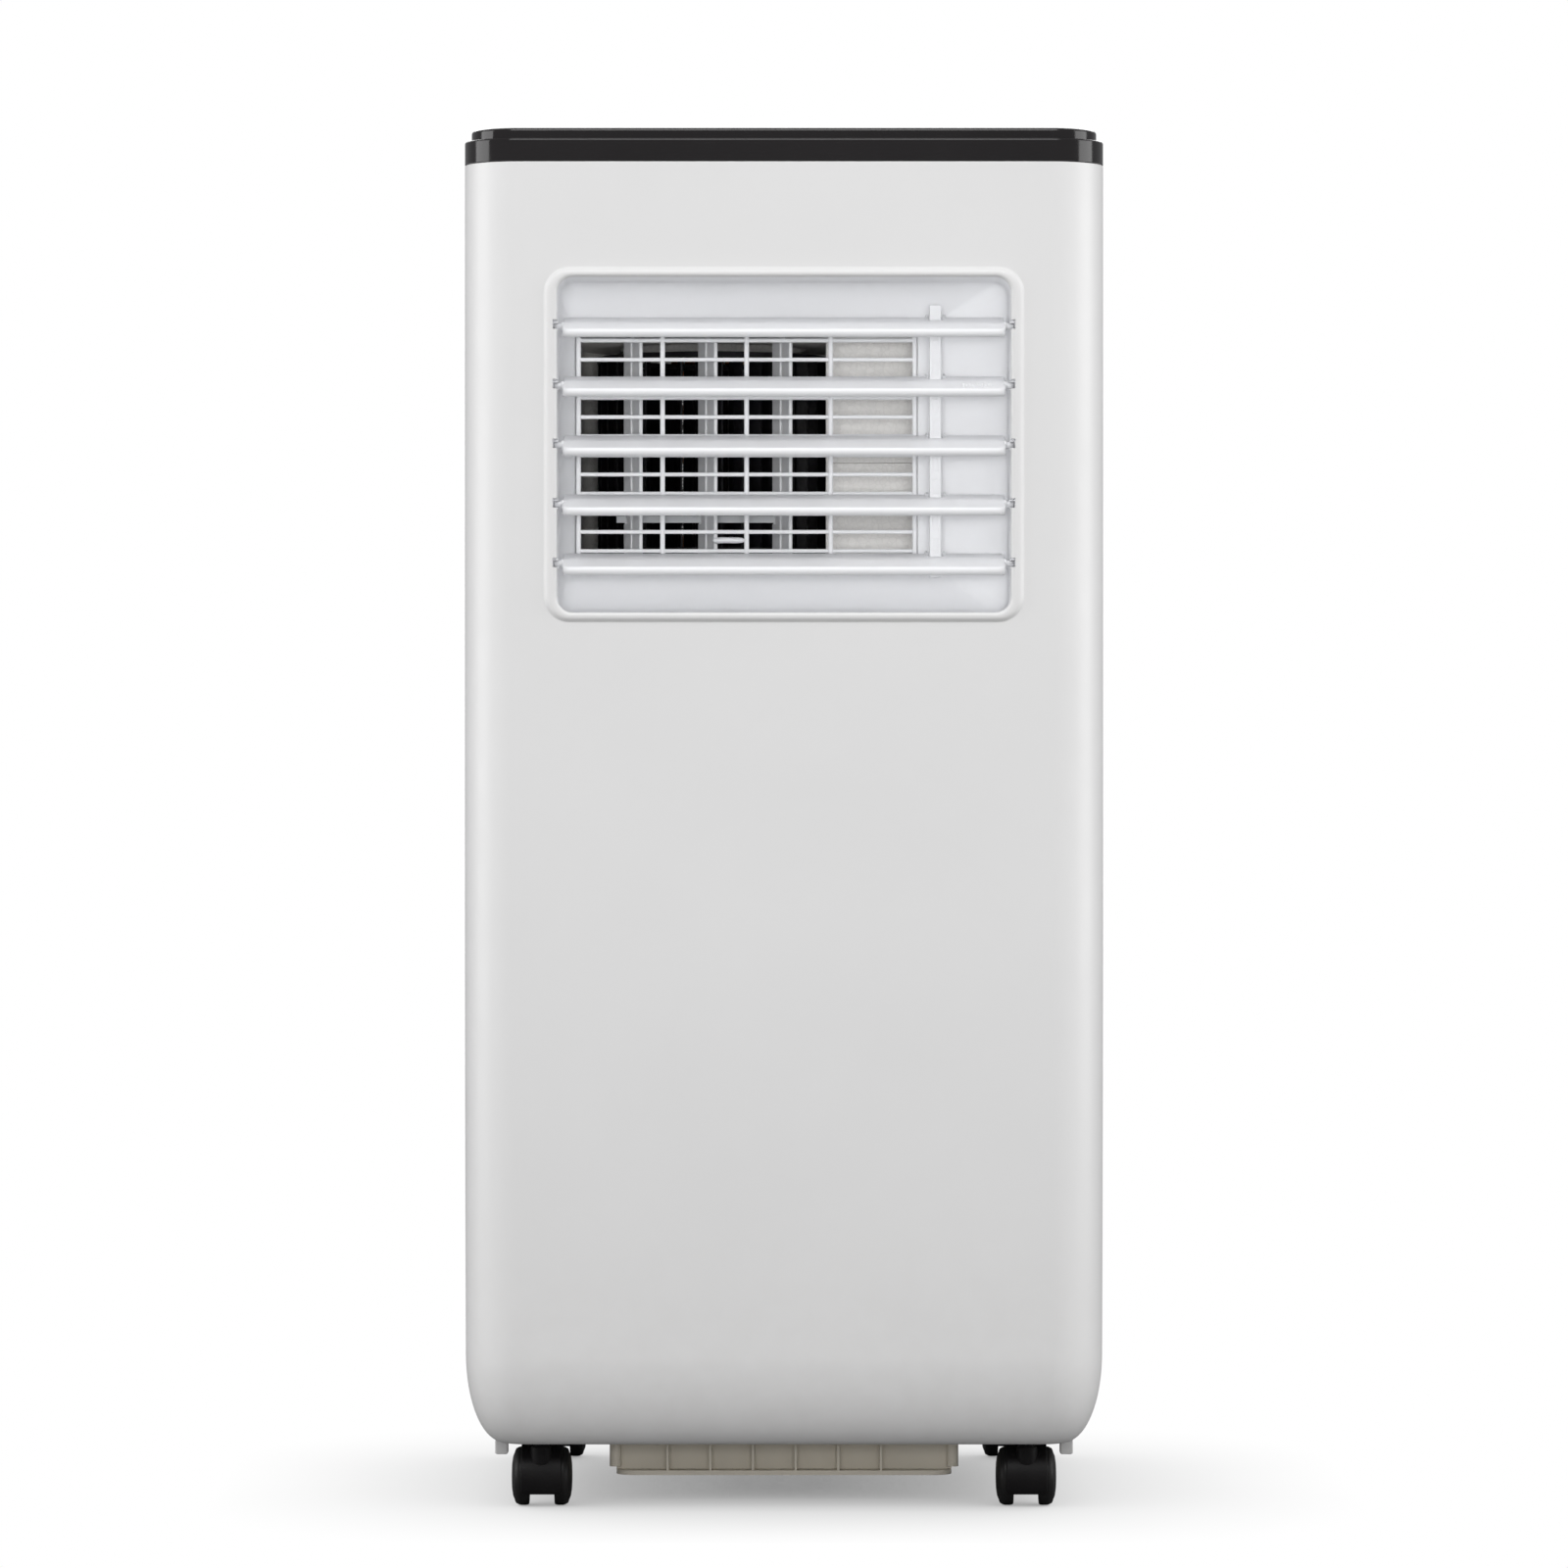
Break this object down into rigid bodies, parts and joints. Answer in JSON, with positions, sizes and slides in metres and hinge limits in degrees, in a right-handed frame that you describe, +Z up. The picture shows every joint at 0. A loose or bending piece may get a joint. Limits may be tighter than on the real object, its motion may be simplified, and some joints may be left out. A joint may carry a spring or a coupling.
{
  "type": "portable air conditioner",
  "caption": "Upright portable air conditioner with a louvred front outlet, black top rim and lid, rear intakes, hose collar and twin-wheel casters.",
  "frame": {"origin": "on the floor, at the centre of the unit's footprint", "axes": "+Z up, the front with the air outlet faces -Y, +X to the right of someone looking at the front"},
  "size_m": [0.326, 0.34, 0.704],
  "materials": {
    "shell": "satin moulded, light grey",
    "black_trim": "glossy black",
    "fascia": "glossy black",
    "display": "dark smoked window",
    "board": "green solder mask",
    "button": "satin grey",
    "outlet_white": "satin white",
    "link_clear": "natural translucent",
    "foam": "expanded polystyrene beads",
    "rotor_black": "satin black",
    "rotor_grey": "satin grey",
    "motor": "zinc grey",
    "fins": "mill",
    "copper": "bright copper tube",
    "deck": "satin",
    "grille": "satin light grey",
    "filter": "fine net",
    "compressor_black": "semi-gloss black",
    "rubber": "moulded",
    "duct": "satin",
    "steel_sheet": "galvanised",
    "screw": "zinc plated",
    "pan": "satin",
    "tray": "beige",
    "caster_black": "satin black",
    "tread": "moulded tread"
  },
  "bodies": {
    "casing": {"front_panel": "shell", "rear_panel": "shell", "top_rim": "black_trim", "top_lid": "black_trim", "control_fascia": "fascia", "display_window": "display", "display_board": "board", "outlet_frame": "outlet_white", "outlet_grille": "outlet_white", "foam_volute_upper": "foam", "foam_volute_lower": "foam", "blower_motor": "motor", "evaporator_fins": "fins", "evaporator_tubes": "copper", "mid_deck": "deck", "intake_grille_lower": "grille", "handle_cups": "deck", "compressor": "compressor_black", "compressor_mounts": "rubber", "refrigerant_pipes": "copper", "condenser_fins": "fins", "condenser_tubes": "copper", "fan_scroll": "duct", "fan_motor": "motor", "exhaust_duct": "duct", "exhaust_collar": "grille", "control_box": "steel_sheet", "main_board": "board", "cord_gland": "rubber", "casing_screws": "screw", "base_pan": "pan", "drain_tray": "tray"},
    "button_power": {"button_power": "button"},
    "button_mode": {"button_mode": "button"},
    "button_speed": {"button_speed": "button"},
    "button_up": {"button_up": "button"},
    "button_down": {"button_down": "button"},
    "louver_1": {"louver_1": "outlet_white"},
    "louver_2": {"louver_2": "outlet_white"},
    "louver_3": {"louver_3": "outlet_white"},
    "louver_4": {"louver_4": "outlet_white"},
    "louver_5": {"louver_5": "outlet_white"},
    "louver_link": {"louver_link": "outlet_white"},
    "vane_1": {"vane_1": "outlet_white"},
    "vane_2": {"vane_2": "outlet_white"},
    "vane_3": {"vane_3": "outlet_white"},
    "vane_link": {"vane_link": "link_clear"},
    "blower_wheel": {"blower_wheel": "rotor_black"},
    "intake_grille_upper": {"intake_grille_upper": "grille"},
    "air_filter": {"air_filter": "filter"},
    "fan_wheel": {"fan_wheel": "rotor_grey"},
    "drain_bung": {"drain_bung": "rubber"},
    "caster_frame_1": {"caster_frame_1": "caster_black"},
    "caster_frame_2": {"caster_frame_2": "caster_black"},
    "caster_frame_3": {"caster_frame_3": "caster_black"},
    "caster_frame_4": {"caster_frame_4": "caster_black"},
    "caster_wheels_1": {"caster_wheels_1": "tread"},
    "caster_wheels_2": {"caster_wheels_2": "tread"},
    "caster_wheels_3": {"caster_wheels_3": "tread"},
    "caster_wheels_4": {"caster_wheels_4": "tread"}
  },
  "joints": [
    {"name": "button_power_press", "type": "slide", "parent": "casing", "child": "button_power", "axis": [0, 0, -1], "range_m": [0, 0.0008], "stiffness_N_per_m": 300, "springref_m": -0.001},
    {"name": "button_mode_press", "type": "slide", "parent": "casing", "child": "button_mode", "axis": [0, 0, -1], "range_m": [0, 0.0008], "stiffness_N_per_m": 300, "springref_m": -0.001},
    {"name": "button_up_press", "type": "slide", "parent": "casing", "child": "button_up", "axis": [0, 0, -1], "range_m": [0, 0.0008], "stiffness_N_per_m": 300, "springref_m": -0.001},
    {"name": "button_down_press", "type": "slide", "parent": "casing", "child": "button_down", "axis": [0, 0, -1], "range_m": [0, 0.0008], "stiffness_N_per_m": 300, "springref_m": -0.001},
    {"name": "button_speed_press", "type": "slide", "parent": "casing", "child": "button_speed", "axis": [0, 0, -1], "range_m": [0, 0.0008], "stiffness_N_per_m": 300, "springref_m": -0.001},
    {"name": "louver_1_tilt", "type": "hinge", "parent": "casing", "child": "louver_1", "pos_m": [0, -0.15, 0.604], "axis": [1, 0, 0], "range_deg": [-45, 44]},
    {"name": "louver_2_tilt", "type": "hinge", "parent": "casing", "child": "louver_2", "pos_m": [0, -0.15, 0.5738], "axis": [1, 0, 0], "range_deg": [-45, 44]},
    {"name": "louver_3_tilt", "type": "hinge", "parent": "casing", "child": "louver_3", "pos_m": [0, -0.15, 0.5436], "axis": [1, 0, 0], "range_deg": [-45, 44]},
    {"name": "louver_4_tilt", "type": "hinge", "parent": "casing", "child": "louver_4", "pos_m": [0, -0.15, 0.5134], "axis": [1, 0, 0], "range_deg": [-45, 44]},
    {"name": "louver_5_tilt", "type": "hinge", "parent": "casing", "child": "louver_5", "pos_m": [0, -0.15, 0.4832], "axis": [1, 0, 0], "range_deg": [-45, 44]},
    {"name": "louver_link_pivot", "type": "hinge", "parent": "louver_3", "child": "louver_link", "pos_m": [0.0774, -0.13414, 0.54815], "axis": [1, 0, 0], "range_deg": [-44, 45]},
    {"name": "vane_1_turn", "type": "hinge", "parent": "casing", "child": "vane_1", "pos_m": [-0.0784, -0.084, 0.5455], "axis": [0, 0, 1], "range_deg": [-48, 12]},
    {"name": "vane_2_turn", "type": "hinge", "parent": "casing", "child": "vane_2", "pos_m": [-0.0397, -0.084, 0.5455], "axis": [0, 0, 1], "range_deg": [-48, 12]},
    {"name": "vane_3_turn", "type": "hinge", "parent": "casing", "child": "vane_3", "pos_m": [-0.001, -0.084, 0.5455], "axis": [0, 0, 1], "range_deg": [-48, 12]},
    {"name": "vane_link_pivot", "type": "hinge", "parent": "vane_2", "child": "vane_link", "pos_m": [-0.04356, -0.07211, 0.5088], "axis": [0, 0, 1], "range_deg": [-12, 48]},
    {"name": "blower_spin", "type": "hinge", "parent": "casing", "child": "blower_wheel", "pos_m": [-0.038, 0.0205, 0.5455], "axis": [0, 0, 1], "continuous": true},
    {"name": "fan_spin", "type": "hinge", "parent": "casing", "child": "fan_wheel", "pos_m": [0.045, 0.045, 0.164], "axis": [0, 1, 0], "continuous": true},
    {"name": "intake_grille_pull", "type": "slide", "parent": "casing", "child": "intake_grille_upper", "axis": [0, 1, 0], "range_m": [0, 0.03]},
    {"name": "air_filter_unclip", "type": "slide", "parent": "intake_grille_upper", "child": "air_filter", "axis": [0, -1, 0], "range_m": [0, 0.012]},
    {"name": "drain_bung_pull", "type": "slide", "parent": "casing", "child": "drain_bung", "axis": [0, 1, 0], "range_m": [0, 0.02]},
    {"name": "caster_1_swivel", "type": "hinge", "parent": "casing", "child": "caster_frame_1", "pos_m": [-0.1245, -0.125, 0.034], "axis": [0, 0, 1], "continuous": true},
    {"name": "caster_1_roll", "type": "hinge", "parent": "caster_frame_1", "child": "caster_wheels_1", "pos_m": [-0.1245, -0.114, 0.015], "axis": [1, 0, 0], "continuous": true},
    {"name": "caster_2_swivel", "type": "hinge", "parent": "casing", "child": "caster_frame_2", "pos_m": [0.1245, -0.125, 0.034], "axis": [0, 0, 1], "continuous": true},
    {"name": "caster_2_roll", "type": "hinge", "parent": "caster_frame_2", "child": "caster_wheels_2", "pos_m": [0.1245, -0.114, 0.015], "axis": [1, 0, 0], "continuous": true},
    {"name": "caster_3_swivel", "type": "hinge", "parent": "casing", "child": "caster_frame_3", "pos_m": [-0.1245, 0.125, 0.034], "axis": [0, 0, 1], "continuous": true},
    {"name": "caster_3_roll", "type": "hinge", "parent": "caster_frame_3", "child": "caster_wheels_3", "pos_m": [-0.1245, 0.136, 0.015], "axis": [1, 0, 0], "continuous": true},
    {"name": "caster_4_swivel", "type": "hinge", "parent": "casing", "child": "caster_frame_4", "pos_m": [0.1245, 0.125, 0.034], "axis": [0, 0, 1], "continuous": true},
    {"name": "caster_4_roll", "type": "hinge", "parent": "caster_frame_4", "child": "caster_wheels_4", "pos_m": [0.1245, 0.136, 0.015], "axis": [1, 0, 0], "continuous": true}
  ],
  "couplings": [
    {"joint": "louver_1_tilt", "follows": "louver_3_tilt", "ratio": 1},
    {"joint": "louver_2_tilt", "follows": "louver_3_tilt", "ratio": 1},
    {"joint": "louver_4_tilt", "follows": "louver_3_tilt", "ratio": 1},
    {"joint": "louver_5_tilt", "follows": "louver_3_tilt", "ratio": 1},
    {"joint": "louver_link_pivot", "follows": "louver_3_tilt", "ratio": -1},
    {"joint": "vane_1_turn", "follows": "vane_2_turn", "ratio": 1},
    {"joint": "vane_3_turn", "follows": "vane_2_turn", "ratio": 1},
    {"joint": "vane_link_pivot", "follows": "vane_2_turn", "ratio": -1}
  ]
}
